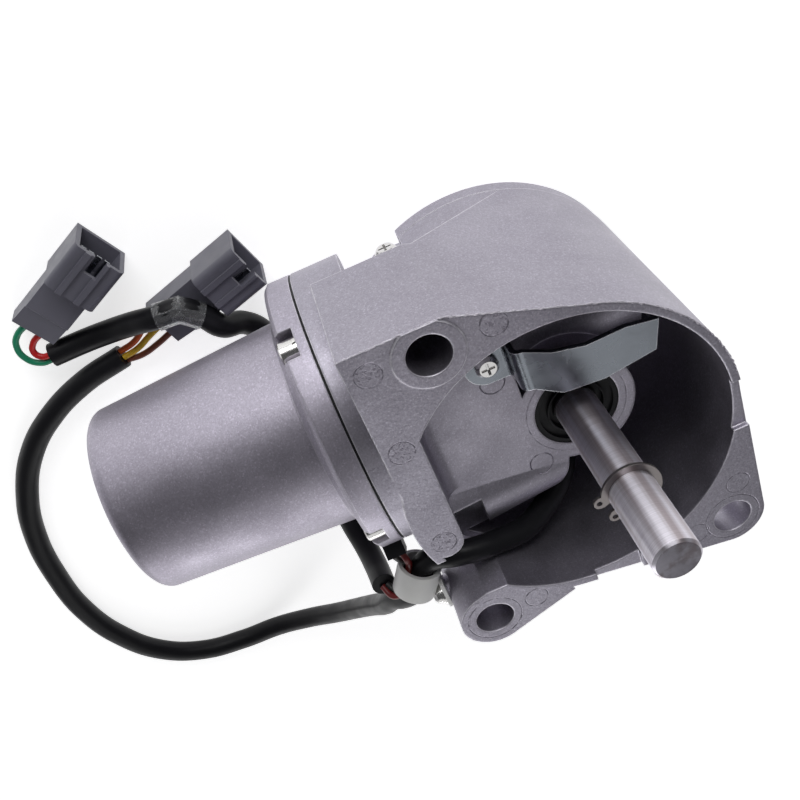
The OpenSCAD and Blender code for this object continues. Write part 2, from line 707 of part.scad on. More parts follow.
module shaft_circlip() {
    color(steel) translate([0, 0, circlip_z + 0.05]) rotate([0, 0, 24]) circlip(circlip_r, 2.1);
}
module rear_circlip() {
    color(steel) translate([0, 0, -rear_clip_z - 0.05]) circlip(circlip_r, 2.1);
}
module output_front_bearing() {
    color(steel) translate([0, 0, -hub_top + seat_gap])
        bearing(bearing_r - seat_gap, shaft_r, front_bearing_h - 2 * seat_gap);
}
module output_rear_bearing() {
    color(steel) translate([0, 0, -rear_bearing_top - rear_bearing_h - seat_gap])
        bearing(bearing_r - seat_gap, shaft_r, rear_bearing_h);
}
module oil_seal() {
    seal_face = 0.5;
    color(black) difference() {
        translate([0, 0, -seal_bottom + 0.05])
            cylinder(r = seal_r - seat_gap, h = seal_h - seal_face, $fn = 96);
        translate([0, 0, -60]) cylinder(r = shaft_r, h = 80);
        translate([0, 0, -floor_h - seal_face - 1.2]) tube(seal_r - 1.8, shaft_r + 2.8, 3);
        translate([0, 0, -floor_h - seal_face - 2.2]) tube(shaft_r + 2.2, shaft_r + 0.4, 3);
    }
}

/* Guard strap */
strap_screw_at = [24, -33];
plug_screw_at = [38.3, -58.5];
tab_x = 17;
strap_bend = 1.5;
strap_y = [strap_screw_at[1] - strap_w / 2, strap_screw_at[1] + strap_w / 2];
// Quarter of a bend of the strap about an axis along Y, in the quadrant that sx and sz choose
module strap_corner(x, z, sx, sz) {
    outer = strap_bend + strap_t;
    intersection() {
        translate([x, strap_y[0], z]) rotate([-90, 0, 0]) tube(outer, strap_bend, strap_w);
        translate([x - (sx < 0 ? outer : 0), strap_y[0], z - (sz < 0 ? outer : 0)])
            cube([outer, strap_w, outer]);
    }
}
module guard_strap() {
    front_top = -strap_front_h;
    low_x = tab_x + strap_bend;
    low_z = -floor_h + strap_t + strap_bend;
    high_x = tab_x - strap_t - strap_bend;
    high_z = front_top - strap_t - strap_bend;
    color(zinc) difference() {
        union() {
            translate([low_x - eps, strap_y[0], -floor_h])
                cube([strap_screw_at[0] - low_x + eps, strap_w, strap_t]);
            translate([strap_screw_at[0], strap_screw_at[1], -floor_h]) cylinder(d = strap_w, h = strap_t);
            strap_corner(low_x, low_z, -1, -1);
            translate([tab_x - strap_t, strap_y[0], low_z - eps])
                cube([strap_t, strap_w, high_z - low_z + 2 * eps]);
            strap_corner(high_x, high_z, 1, 1);
            slab(front_top - strap_t, front_top)
                polygon([[high_x + eps, strap_y[0]], [high_x + eps, strap_y[1]], [4.9, -19.4], [-8.9, -18.1],
                         [-26.7, -20.7], [-29.5, -31.6], [-18.8, -33.6], [-5.8, -33.2], [4.7, -35.8]]);
            slab(front_top - 8, front_top)
                polygon([[-26.7, -20.7], [-29.5, -31.6], [-29.5 + strap_t, -31.9], [-26.7 + strap_t, -20.4]]);
        }
        translate([strap_screw_at[0], strap_screw_at[1], -floor_h - 5]) cylinder(r = 2.2, h = 20);
    }
}
module cross_screw(r, head_h, shank_r, shank_h) {
    difference() {
        union() {
            cylinder(r = r, h = head_h * 0.5);
            translate([0, 0, head_h * 0.5 - eps]) cylinder(r1 = r, r2 = r * 0.72, h = head_h * 0.5);
            translate([0, 0, -shank_h]) cylinder(r = shank_r, h = shank_h + eps);
        }
        for (a = [0, 90]) rotate([0, 0, a]) translate([-r * 0.55, -r * 0.1, head_h * 0.45])
            cube([r * 1.1, r * 0.2, head_h]);
    }
}
module strap_screw() {
    color(steel) translate([strap_screw_at[0], strap_screw_at[1], strap_t - floor_h])
        cross_screw(4, 2.6, 1.95, 8);
}
module plug_screw() {
    color(steel) translate([plug_screw_at[0], -plug_boss_h, plug_screw_at[1]]) rotate([90, 0, 0])
        cross_screw(4, 3.2, 2.45, 7);
}

/* Sensor in the rear compartment */
module position_sensor() {
    color(black) difference() {
        slab(-sensor_top - sensor_h, -sensor_top) {
            circle(r = 24);
            tangent_web([0, 0], 20, lead_hole, 7);
            translate(lead_hole) circle(r = 7);
            for (a = [0, 180]) rotate(a) translate([-32, -6]) square([20, 12]);
        }
        translate([0, 0, -sensor_top - sensor_h - over]) {
            cylinder(r = tail_shaft_r + run_gap, h = sensor_h + 2 * over);
            for (s = [-1, 1]) translate([s * sensor_screw_x, 0, 0]) cylinder(r = 1.7, h = sensor_h + 2 * over);
        }
    }
    color(black) for (s = [-1, 1]) translate([s * sensor_screw_x, 0, -sensor_top - eps])
        tube(3.4, 1.7, sensor_standoff + eps);
}
// Depth of the sensor's screws in the floor
sensor_screw_grip = 1.9;
module sensor_screws() {
    color(steel) for (s = [-1, 1]) translate([s * sensor_screw_x, 0, -sensor_top - sensor_h])
        rotate([180, 0, 0]) cross_screw(3, 2, 1.5, sensor_h + sensor_standoff + sensor_screw_grip);
}

/* Clamp, grommet and screws of the leads */
clamp_at = [74.6, 41.9, -20];
clamp_turn = 60;
module lead_grommet() { color(black) grommet_block(54.8); }
module lead_clamp() {
    out_r = clamp_bore_r + clamp_t;
    tab_in = clamp_screw_at[0] + 0.05;
    color([0.9, 0.9, 0.88]) difference() {
        union() {
            translate(clamp_at) rotate([0, 90, clamp_turn]) translate([0, 0, -clamp_w / 2])
                cylinder(r = out_r, h = clamp_w);
            translate([tab_in, clamp_at[1] + 3, clamp_at[2] - clamp_w / 2])
                cube([clamp_t, clamp_screw_at[1] - clamp_at[1] - 3, clamp_w]);
            translate([tab_in, clamp_screw_at[1], clamp_screw_at[2]]) rotate([0, 90, 0])
                cylinder(d = clamp_w, h = clamp_t);
        }
        translate(clamp_at) rotate([0, 90, clamp_turn]) translate([0, 0, -clamp_w])
            cylinder(r = clamp_bore_r, h = 2 * clamp_w);
        translate(clamp_screw_at) rotate([0, 90, 0]) cylinder(r = 2.1, h = 5);
    }
}
module clamp_screw() {
    seat = clamp_screw_at[0] + clamp_t + 0.05;
    color(steel) translate([seat, clamp_screw_at[1], clamp_screw_at[2]]) rotate([0, 90, 0]) {
        tube(5, 2, 0.8);
        translate([0, 0, 0.8 - eps]) tube(4.4, 2, 0.9);
        translate([0, 0, 1.7 - 2 * eps]) cross_screw(3.8, 2.6, 1.95 + 2 * eps, 7);
    }
}

/* Leads: each is swept along its own points */
function unit(v) = v / norm(v);
function across(v, t) = unit(v - (v * t) * t);
function way(p, i) = unit(p[min(i + 1, len(p) - 1)] - p[max(i - 1, 0)]);
function turned(p, first, i = 0) = i >= len(p) ? [] :
    let (n = across(first, way(p, i))) concat([n], turned(p, n, i + 1));
module lead(p, d, sides = 8, first = [0.1, 0.2, 1]) {
    n = turned(p, len(p) > 0 ? first : first);
    points = [for (i = [0:len(p) - 1]) for (j = [0:sides - 1])
        let (t = way(p, i), b = cross(t, n[i]), a = 360 * (j + 0.5) / sides)
        p[i] + d / 2 * (cos(a) * n[i] + sin(a) * b)];
    last = (len(p) - 1) * sides;
    faces = concat([[for (j = [0:sides - 1]) j]], [[for (j = [sides - 1:-1:0]) last + j]],
        [for (i = [0:len(p) - 2]) for (j = [0:sides - 1]) for (k = [0, 1])
            let (a = i * sides + j, b = i * sides + (j + 1) % sides)
            k == 0 ? [a, a + sides, b + sides] : [a, b + sides, b]]);
    polyhedron(points, faces, convexity = 6);
}
lead_a_route = [
    [5, 37, -77.5], [5, 37, -66], [5, 37, -54], [6.5, 38.5, -44.5], [12, 42, -36.5], [21, 43.8, -29.5],
    [31, 43.5, -22.5], [41, 39.7, -18.2], [50, 35.8, -15], [58.5, 33.4, -14.6], [65.8, 33.6, -17.3],
    [70.8, 37.4, -19.4], [73.5, 42.5, -20], [77.2, 49.3, -21.5], [82, 54.5, -25], [87.5, 60, -31.5],
    [92.5, 69, -39], [100, 81, -52], [109, 93, -65], [122, 104, -78], [137, 111, -88.5], [154, 115, -95.5],
    [172, 116, -97.5], [191, 112, -97.5], [207, 101, -97.5], [218, 82, -97.5], [223, 59, -97.5],
    [222, 35, -97.5], [217, 11, -97.5], [208, -9, -97.5], [195, -26, -97.5], [180, -37, -97.5],
    [162, -44.5, -97.5], [143.5, -48, -97.5]];
lead_b_route = [
    [87.5, 44.5, -25.5], [88.5, 45.5, -36], [90, 43.5, -47], [92, 38, -57], [93.5, 30, -70],
    [93.5, 20, -83], [92, 8, -92], [90, -6, -96.5], [90, -20, -97.5], [92.5, -34, -97.2], [97, -42, -94.5],
    [103.5, -48.6, -87], [107.5, -56, -85.7], [113.5, -62, -85.4], [122, -62.5, -86], [132, -61.6, -91],
    [143, -60.2, -96], [154, -60, -97.5], [165.5, -60, -97.5]];
plug_body_l = 18.5;
plug_a_at = [124.3, -54, -102];
plug_b_at = [165.3, -72.6, -102];
plug_a_turn = 196.8;
plug_b_turn = 206.3;
wires_a_routes = [
    [[142.9, -45.8, -97.5], [137, -45.4, -97.2], [130, -47, -97], [123.2, -49.3, -97]],
    [[143.3, -48, -96.2], [137, -48.8, -96.8], [131, -51.4, -97], [124.5, -54, -97]],
    [[143.7, -50.2, -97.5], [137, -51.7, -97.2], [131.5, -55.2, -97], [125.9, -58.7, -97]]];
wires_b_routes = [
    [[165.4, -61.2, -96], [168.6, -61.6, -96.4], [170.4, -64.2, -97], [168.6, -67.6, -97],
     [164.1, -69.9, -97]],
    [[165.4, -58.6, -97.2], [170.5, -59.2, -97], [174.3, -63.5, -97], [174.2, -69.5, -97], [171.5, -73, -97],
     [166.7, -75.3, -97]]];
motor_wire_routes = [
    [[75.2, 26, -18.4], [74.7, 29.5, -17.2], [75, 33.5, -18.7], [78.5, 39.6, -18.7], [82, 45.7, -19.2],
     [85.8, 47.3, -20.8], [88.3, 45, -25.2]],
    [[78.2, 26, -18.4], [77.2, 29.5, -19.2], [75.2, 33.7, -21.3], [78.5, 39.6, -21.3], [82, 45.6, -21.6],
     [84.6, 46.4, -22.8], [86.4, 44.6, -25.2]]];
module lead_a() { color(black) lead(lead_a_route, lead_d); }
module lead_b() { color(black) lead(lead_b_route, lead_d); }
module wires_a() {
    tones = [[0.7, 0.15, 0.05], [0.85, 0.6, 0.1], [0.35, 0.15, 0.08]];
    for (i = [0:2]) color(tones[i]) lead(wires_a_routes[i], wire_d);
}
module wires_b() {
    for (i = [0, 1]) color([[0.7, 0.05, 0.05], [0.05, 0.35, 0.25]][i]) lead(wires_b_routes[i], wire_d);
}
module motor_wires() {
    for (i = [0, 1]) color([[0.7, 0.05, 0.05], [0.1, 0.1, 0.1]][i]) lead(motor_wire_routes[i], wire_d);
}
tape_t = 0.4;
module lead_tape() {
    tape_route = [lead_b_route[12], lead_b_route[13], lead_b_route[14]];
    color([0.8, 0.8, 0.82]) difference() {
        lead(tape_route, lead_d + 0.4 + 2 * tape_t, 12);
        lead([lead_b_route[11], lead_b_route[12], lead_b_route[13], lead_b_route[14], lead_b_route[15]],
             lead_d + 0.4, 12);
    }
}

/* Plugs */
module in_plug(at, turn) { translate(at) rotate([0, 0, turn]) children(); }
module plug() {
    tail_l = plug_len - plug_body_l;
    tail_w = 16.4;
    tail_h = 11;
    rib = 0.9;
    round_r = 2.5;
    difference() {
        union() {
            translate([0, tail_w / 2, 0]) rotate([90, 0, 0]) linear_extrude(height = tail_w)
                polygon([[0, 0], [0, tail_h - 3], [8.5, tail_h - 1.2], [9.5, tail_h], [tail_l + 1, tail_h],
                         [tail_l + 1, 0]]);
            translate([tail_l, 0, 0]) rotate([90, 0, 90]) linear_extrude(height = plug_body_l) {
                translate([-plug_w / 2, 0]) square([plug_w, plug_h - rib - round_r]);
                translate([-plug_w / 2 + round_r, 0]) square([plug_w - 2 * round_r, plug_h - rib]);
                for (s = [-1, 1]) translate([s * (plug_w / 2 - round_r), plug_h - rib - round_r])
                    circle(r = round_r);
                for (y = [-4, 3]) translate([y, 1]) square([2.2, plug_h - 1]);
            }
        }
        translate([plug_len - mouth_h, -plug_w / 2 + plug_wall, plug_wall])
            cube([mouth_h + over, plug_w - 2 * plug_wall, plug_h - rib - 2 * plug_wall]);
        translate([plug_len - 7, -2.8, plug_h - rib - plug_wall - over])
            cube([8, 4.6, plug_wall + rib + 3 * over]);
    }
}
module plug_pins(count) {
    pin_w = 2;
    step = (plug_w - 2 * plug_wall - 3) / count;
    for (i = [0:count - 1])
        translate([plug_len - mouth_h + seat_gap, (i - (count - 1) / 2) * step - pin_w / 2, 8])
        cube([mouth_h - 3, pin_w, 0.8]);
}
module plug_a() { color([0.3, 0.31, 0.35]) in_plug(plug_a_at, plug_a_turn) plug(); }
module plug_b() { color([0.3, 0.31, 0.35]) in_plug(plug_b_at, plug_b_turn) plug(); }
module pins_a() { color(zinc) in_plug(plug_a_at, plug_a_turn) plug_pins(3); }
module pins_b() { color(zinc) in_plug(plug_b_at, plug_b_turn) plug_pins(4); }

gear_housing();
back_cover();
cover_gasket();
cover_screws();
motor_can();
flange_gasket();
motor_screws();
motor_washers();
stator_core();
stator_coils();
rotor();
rotor_magnet();
worm_shaft();
rotor_front_bearing();
rotor_rear_bearing();
worm_end_bearing();
worm_wheel();
wheel_key();
output_shaft();
output_front_bearing();
output_rear_bearing();
rear_circlip();
oil_seal();
shaft_circlip();
guard_strap();
strap_screw();
position_sensor();
sensor_screws();
plug_screw();
lead_grommet();
lead_clamp();
clamp_screw();
motor_wires();
lead_a();
lead_b();
wires_a();
wires_b();
lead_tape();
plug_a();
plug_b();
pins_a();
pins_b();
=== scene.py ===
"""Stepper motor with a right angle worm drive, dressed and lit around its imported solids."""

import math
import random

import bpy
from mathutils import Matrix, Vector


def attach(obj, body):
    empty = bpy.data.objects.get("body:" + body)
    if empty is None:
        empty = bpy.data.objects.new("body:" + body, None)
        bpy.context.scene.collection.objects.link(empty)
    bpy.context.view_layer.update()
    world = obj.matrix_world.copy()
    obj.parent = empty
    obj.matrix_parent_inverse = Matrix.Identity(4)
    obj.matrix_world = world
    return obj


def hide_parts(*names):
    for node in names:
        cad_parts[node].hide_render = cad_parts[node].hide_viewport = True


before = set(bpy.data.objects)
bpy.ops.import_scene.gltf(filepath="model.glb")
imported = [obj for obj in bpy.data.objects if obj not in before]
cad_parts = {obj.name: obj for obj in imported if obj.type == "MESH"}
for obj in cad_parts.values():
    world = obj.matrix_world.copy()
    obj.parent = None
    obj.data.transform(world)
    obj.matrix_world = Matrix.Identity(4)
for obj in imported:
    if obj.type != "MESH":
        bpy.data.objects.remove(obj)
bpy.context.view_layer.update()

MM = 0.001
FLOOR_Z = -102 * MM


def metres(points):
    """Points in millimetres as vectors in metres."""
    return [Vector(p) * MM for p in points]


# Camera: its place and directions, and its lens and sensor in millimetres
EYE = Vector((45.62, -209.97, 218.32)) * MM
LOOK = Vector((0.02602, 0.59289, -0.80487))
UP = Vector((-0.40021, -0.73162, -0.55187))
LENS = 42.193
SENSOR = 36
NEAR = 10 * MM


def make_camera():
    side = LOOK.cross(UP).normalized()
    up = side.cross(LOOK).normalized()
    turn = Matrix((side, up, -LOOK.normalized())).transposed().to_4x4()
    data = bpy.data.cameras.new("camera")
    data.lens = LENS
    data.sensor_width = SENSOR
    data.clip_start = NEAR
    camera = bpy.data.objects.new("camera", data)
    camera.matrix_world = Matrix.Translation(EYE) @ turn
    bpy.context.scene.collection.objects.link(camera)
    bpy.context.scene.camera = camera


# Materials

# Least upward part of the normal on a surface that counts as level
LEVEL = 0.95
# Turn of the surface at which an edge's painted highlight begins, and at which it is full
EDGE_HIGHLIGHT_STOPS = [(0.015, 0.0), (0.13, 1.0)]


class Shader:
    """A material around one Principled shader, whose texture nodes are added one at a time."""

    def __init__(self, name, color, roughness, metallic=0.0, **sockets):
        self.material = bpy.data.materials.new(name)
        self.material.use_nodes = True
        self.material.diffuse_color = (*color, 1)
        self.tree = self.material.node_tree
        self.tree.nodes.clear()
        self.surface = self.node("ShaderNodeBsdfPrincipled")
        self.surface.inputs["Base Color"].default_value = (*color, 1)
        self.surface.inputs["Roughness"].default_value = roughness
        self.surface.inputs["Metallic"].default_value = metallic
        for socket, value in sockets.items():
            self.surface.inputs[socket.replace("_", " ")].default_value = value
        output = self.node("ShaderNodeOutputMaterial")
        self.link(self.surface.outputs[0], output.inputs["Surface"])
        self.place = self.node("ShaderNodeTexCoord").outputs["Object"]

    def node(self, kind, **settings):
        made = self.tree.nodes.new(kind)
        for key, value in settings.items():
            setattr(made, key, value)
        return made

    def link(self, source, target):
        self.tree.links.new(source, target)

    def stretched(self, scale):
        mapping = self.node("ShaderNodeMapping")
        mapping.inputs["Scale"].default_value = scale
        self.link(self.place, mapping.inputs["Vector"])
        return mapping.outputs[0]

    def noise(self, scale, detail, place=None, distortion=0.0):
        made = self.node("ShaderNodeTexNoise")
        made.inputs["Scale"].default_value = scale
        made.inputs["Detail"].default_value = detail
        made.inputs["Distortion"].default_value = distortion
        self.link(place or self.place, made.inputs["Vector"])
        return made.outputs["Fac"]

    def math(self, kind, first, second):
        made = self.node("ShaderNodeMath", operation=kind)
        for socket, source in zip(made.inputs, (first, second)):
            if isinstance(source, (int, float)):
                socket.default_value = source
            else:
                self.link(source, socket)
        return made.outputs[0]

    def part_of(self, vector, axis):
        made = self.node("ShaderNodeSeparateXYZ")
        self.link(vector, made.inputs[0])
        return made.outputs[axis]

    def facing_up(self):
        """One where the surface faces the way that the output shaft points, nothing elsewhere."""
        upward = self.part_of(self.node("ShaderNodeNewGeometry").outputs["Normal"], "Z")
        return self.math("GREATER_THAN", upward, LEVEL)

    def distance_to(self, centres):
        """Distance along the mounting face to the nearest of some (x, y) centres in millimetres."""
        flat = self.node("ShaderNodeVectorMath", operation="MULTIPLY")
        self.link(self.place, flat.inputs[0])
        flat.inputs[1].default_value = (1, 1, 0)
        nearest = None
        for x, y in centres:
            gap = self.node("ShaderNodeVectorMath", operation="DISTANCE")
            self.link(flat.outputs[0], gap.inputs[0])
            gap.inputs[1].default_value = (x * MM, y * MM, 0)
            found = gap.outputs["Value"]
            nearest = found if nearest is None else self.math("MINIMUM", nearest, found)
        return nearest

    def edges(self, radius):
        """Light where the surface turns within the radius, dark elsewhere."""
        bevel = self.node("ShaderNodeBevel", samples=8)
        bevel.inputs["Radius"].default_value = radius
        lean = self.node("ShaderNodeVectorMath", operation="DOT_PRODUCT")
        self.link(bevel.outputs[0], lean.inputs[0])
        self.link(self.node("ShaderNodeNewGeometry").outputs["Normal"], lean.inputs[1])
        return self.math("SUBTRACT", 1.0, lean.outputs["Value"])

    def grains(self, scale):
        made = self.node("ShaderNodeTexVoronoi")
        made.inputs["Scale"].default_value = scale
        self.link(self.place, made.inputs["Vector"])
        return made.outputs["Color"]

    def ramp(self, source, stops):
        """A colour ramp from (place, colour) stops, where a colour is a number or a triple."""
        made = self.node("ShaderNodeValToRGB")
        points = made.color_ramp.elements
        while len(points) < len(stops):
            points.new(0.5)
        for point, (place, tone) in zip(points, stops):
            point.position = place
            point.color = (tone, tone, tone, 1) if isinstance(tone, (int, float)) else (*tone, 1)
        self.link(source, made.inputs["Fac"])
        return made.outputs["Color"]

    def mix(self, kind, first, second, amount=1.0):
        made = self.node("ShaderNodeMix", data_type="RGBA", blend_type=kind)
        if isinstance(amount, float):
            made.inputs[0].default_value = amount
        else:
            self.link(amount, made.inputs[0])
        for source, socket in ((first, made.inputs[6]), (second, made.inputs[7])):
            if isinstance(source, tuple):
                socket.default_value = (*source, 1)
            else:
                self.link(source, socket)
        return made.outputs[2]

    def paint(self, color, roughness):
        self.link(color, self.surface.inputs["Base Color"])
        self.link(roughness, self.surface.inputs["Roughness"])

    def relief(self, layers, edge=0.0):
        """Bump from (height, strength, depth) layers over edges rounded by a radius."""
        normal = None
        if edge:
            bevel = self.node("ShaderNodeBevel", samples=6)
            bevel.inputs["Radius"].default_value = edge
            normal = bevel.outputs[0]
        for height, strength, depth in layers:
            bump = self.node("ShaderNodeBump")
            bump.inputs["Strength"].default_value = strength
            bump.inputs["Distance"].default_value = depth
            self.link(height, bump.inputs["Height"])
            if normal is not None:
                self.link(normal, bump.inputs["Normal"])
            normal = bump.outputs[0]
        self.link(normal, self.surface.inputs["Normal"])


# Centres, in millimetres, of the round marks of the ejector pins and of two bosses with a ring
ROUGH_MARKS = [(58, -61.3), (58.8, -30.7), (19.6, -60.6), (58.9, 11)]
PIN_MARKS = [*ROUGH_MARKS, (57.3, 40.8), (37.7, 54.4), (-41.1, 40.8), (-23.6, 57), (24, -24),
             (17.5, 17)]
BOSSES = [(-37, 55.9), (54.2, 55.9)]
# Radii of the rings round a mark, a boss and the seal, and half widths of their grooves
# The grooves are sunk and also darkened with painted shade
PIN_MARK_R = 4.2 * MM
BOSS_RING_R = 9.9 * MM
SEAL_RING_R = 17.8 * MM
MARK_GROOVE = 0.28 * MM
BOSS_GROOVE = 0.3 * MM
SEAL_GROOVE = 0.35 * MM
# Strength of the seal's ring beside that of the others
SEAL_SHARE = 0.4
# Heights above which a level surface belongs to the block's floor or to the mounting face
FLOOR_MARKS_Z = -24 * MM
FACE_MARKS_Z = -1 * MM


def mould_marks(made, paint):
    """Rings and discs of pins and bosses with painted shade in the grooves, and the mounting face's
    rough skin.

    Gives the marked paint and the layers of relief that go with it.
    """
    height = made.part_of(made.place, "Z")
    facing = made.math("MULTIPLY", made.facing_up(),
                       made.math("GREATER_THAN", height, FLOOR_MARKS_Z))
    face = made.math("MULTIPLY", facing, made.math("GREATER_THAN", height, FACE_MARKS_Z))
    shaded_grooves = []
    for centres, radius, width in ((PIN_MARKS, PIN_MARK_R, MARK_GROOVE),
                                   (BOSSES, BOSS_RING_R, BOSS_GROOVE),
                                   ([(0, 0)], SEAL_RING_R, SEAL_GROOVE)):
        past = made.math("SUBTRACT", made.distance_to(centres), radius)
        off = made.math("ABSOLUTE", past, 0.0)
        line = made.math("SUBTRACT", 1.0, made.math("DIVIDE", off, width))
        shaded_grooves.append(made.math("MAXIMUM", line, 0.0))
    groove_depth_and_shade = made.math("MAXIMUM", made.math("MAXIMUM", shaded_grooves[0], shaded_grooves[1]),
                       made.math("MULTIPLY", shaded_grooves[2], SEAL_SHARE))
    broken = made.ramp(made.noise(420, 3), [(0.4, 0.15), (0.6, 1.0)])
    groove_depth_and_shade = made.math("MULTIPLY", made.math("MULTIPLY", groove_depth_and_shade, facing), broken)
    inside = made.math("LESS_THAN", made.distance_to(ROUGH_MARKS), PIN_MARK_R)
    pitted = made.ramp(made.noise(900, 3, distortion=0.5), [(0.38, 1.0), (0.46, 0.0)])
    pits = made.math("MULTIPLY", pitted, made.math("MULTIPLY", inside, facing))
    rough = made.ramp(made.noise(1300, 4), [(0.3, 1.0), (0.7, 0.0)])
    skin = made.math("MULTIPLY", rough, face)
    # The grooves' tone is painted shade; the pits and the skin are the casting's own mottling
    for tone, amount, share in (((0.4, 0.38, 0.39), groove_depth_and_shade, 0.5), ((0.6, 0.58, 0.6), pits, 0.5),
                                ((0.6, 0.6, 0.62), skin, 0.55)):
        paint = made.mix("MULTIPLY", paint, tone, made.math("MULTIPLY", amount, share))
    sunk = made.math("ADD", groove_depth_and_shade, made.math("MULTIPLY", pits, 0.5))
    return paint, [(made.math("SUBTRACT", 0.0, sunk), 0.9, 0.3 * MM),
                   (made.math("MULTIPLY", made.noise(700, 4), face), 0.5, 0.3 * MM)]


def cast_alloy(name, tone, marked=False):
    """Bead blasted aluminium: fine sparkle, cloudy tone, a painted highlight along its edges and a
    soft cast skin.
    """
    made = Shader(name, tone, 0.46, metallic=0.95)
    clouds = made.ramp(made.noise(22, 4), [(0.3, 0.92), (0.7, 1.05)])
    sparkle = made.ramp(made.grains(2300), [(0.0, 0.8), (0.75, 1.0), (1.0, 1.3)])
    stains = made.ramp(made.noise(9, 2, distortion=0.6), [(0.35, 1.0), (0.8, (0.96, 0.95, 0.95))])
    paint = tone
    for cover in (clouds, sparkle, stains):
        paint = made.mix("MULTIPLY", paint, cover)
    layers = [(made.noise(260, 3), 0.25, 0.2 * MM), (made.noise(1900, 2), 0.35, 0.06 * MM)]
    if marked:
        paint, marks = mould_marks(made, paint)
        layers += marks
    # Painted highlight: edges are mixed towards a pale tone, broken up by noise
    painted_edge_highlight = made.math("MULTIPLY", made.ramp(made.edges(0.8 * MM), EDGE_HIGHLIGHT_STOPS),
                     made.ramp(made.noise(300, 3), [(0.3, 0.35), (0.6, 0.9)]))
    made.paint(made.mix("MIX", paint, (0.88, 0.86, 0.92), painted_edge_highlight),
               made.ramp(made.noise(60, 3), [(0.3, 0.42), (0.7, 0.54)]))
    made.relief(layers, edge=1.1 * MM)
    return made.material


def machined(name, tone, roughness, streak=(30, 30, 3000), sawn_with_reflection_bands=False):
    """Turned or drawn metal with fine streaks. A sawn bar has painted reflection bands along it and
    a dull end.
    """
    made = Shader(name, tone, roughness, metallic=1.0)
    streaks = made.noise(1, 2, place=made.stretched(streak))
    shade = made.mix("MULTIPLY", tone, made.ramp(streaks, [(0.3, 0.88), (0.7, 1.08)]))
    if sawn_with_reflection_bands:
        # Painted reflections: long dark brown and bright bands along the bar
        along = made.noise(1, 3, place=made.stretched((260, 260, 6)))
        painted_reflection_bands = made.ramp(along, [(0.35, (0.62, 0.57, 0.55)), (0.55, 1.0), (0.75, 1.15)])
        shade = made.mix("MULTIPLY", shade, painted_reflection_bands)
        shade = made.mix("MULTIPLY", shade, (0.32, 0.32, 0.33), made.facing_up())
        made.surface.inputs["Anisotropic"].default_value = 0.75
        made.surface.inputs["Anisotropic Rotation"].default_value = 0.25
        made.link(made.node("ShaderNodeTangent", direction_type="RADIAL", axis="Z").outputs[0],
                  made.surface.inputs["Tangent"])
    made.paint(shade, made.ramp(streaks, [(0.2, roughness * 0.8), (0.8, roughness * 1.25)]))
    made.relief([(streaks, 0.12, 0.04 * MM)], edge=0.2 * MM)
    return made.material


def zinc(name, tone, roughness):
    """Zinc plate with cloudy, softly blotched reflection and a painted highlight along its edges.
    """
    made = Shader(name, tone, roughness, metallic=1.0)
    blotches = made.noise(120, 4, distortion=0.8)
    shade = made.mix("MULTIPLY", tone, made.ramp(blotches, [(0.3, 0.7), (0.7, 1.15)]))
    # Painted highlight: edges are mixed towards a pale tone
    painted_strap_edge_highlight = made.ramp(made.edges(0.6 * MM), EDGE_HIGHLIGHT_STOPS)
    made.paint(made.mix("MIX", shade, (0.85, 0.87, 0.9), painted_strap_edge_highlight),
               made.ramp(blotches, [(0.3, roughness * 0.7), (0.75, roughness * 1.5)]))
    made.relief([(made.noise(500, 2), 0.08, 0.05 * MM)], edge=0.3 * MM)
    return made.material


def moulded(name, tone, roughness, grain=900, shine=0.5):
    """Moulded plastic or rubber with a fine grain."""
    made = Shader(name, tone, roughness, Specular_IOR_Level=shine)
    clouds = made.ramp(made.noise(40, 3), [(0.3, 0.88), (0.7, 1.1)])
    made.paint(made.mix("MULTIPLY", tone, clouds),
               made.ramp(made.noise(150, 3), [(0.3, roughness * 0.85), (0.7, roughness * 1.15)]))
    made.relief([(made.noise(grain, 2), 0.2, 0.08 * MM)], edge=0.3 * MM)
    return made.material


def clear_film(name):
    """Clear tape whose wrinkles break up what shines through it."""
    made = Shader(name, (0.9, 0.92, 0.95), 0.12, Transmission_Weight=0.9, IOR=1.3)
    wrinkles = made.noise(1, 3, place=made.stretched((160, 160, 700)), distortion=1.2)
    made.paint(made.ramp(wrinkles, [(0.3, (0.75, 0.78, 0.82)), (0.7, (1, 1, 1))]),
               made.ramp(wrinkles, [(0.3, 0.06), (0.7, 0.3)]))
    made.relief([(wrinkles, 0.7, 0.5 * MM)])
    return made.material


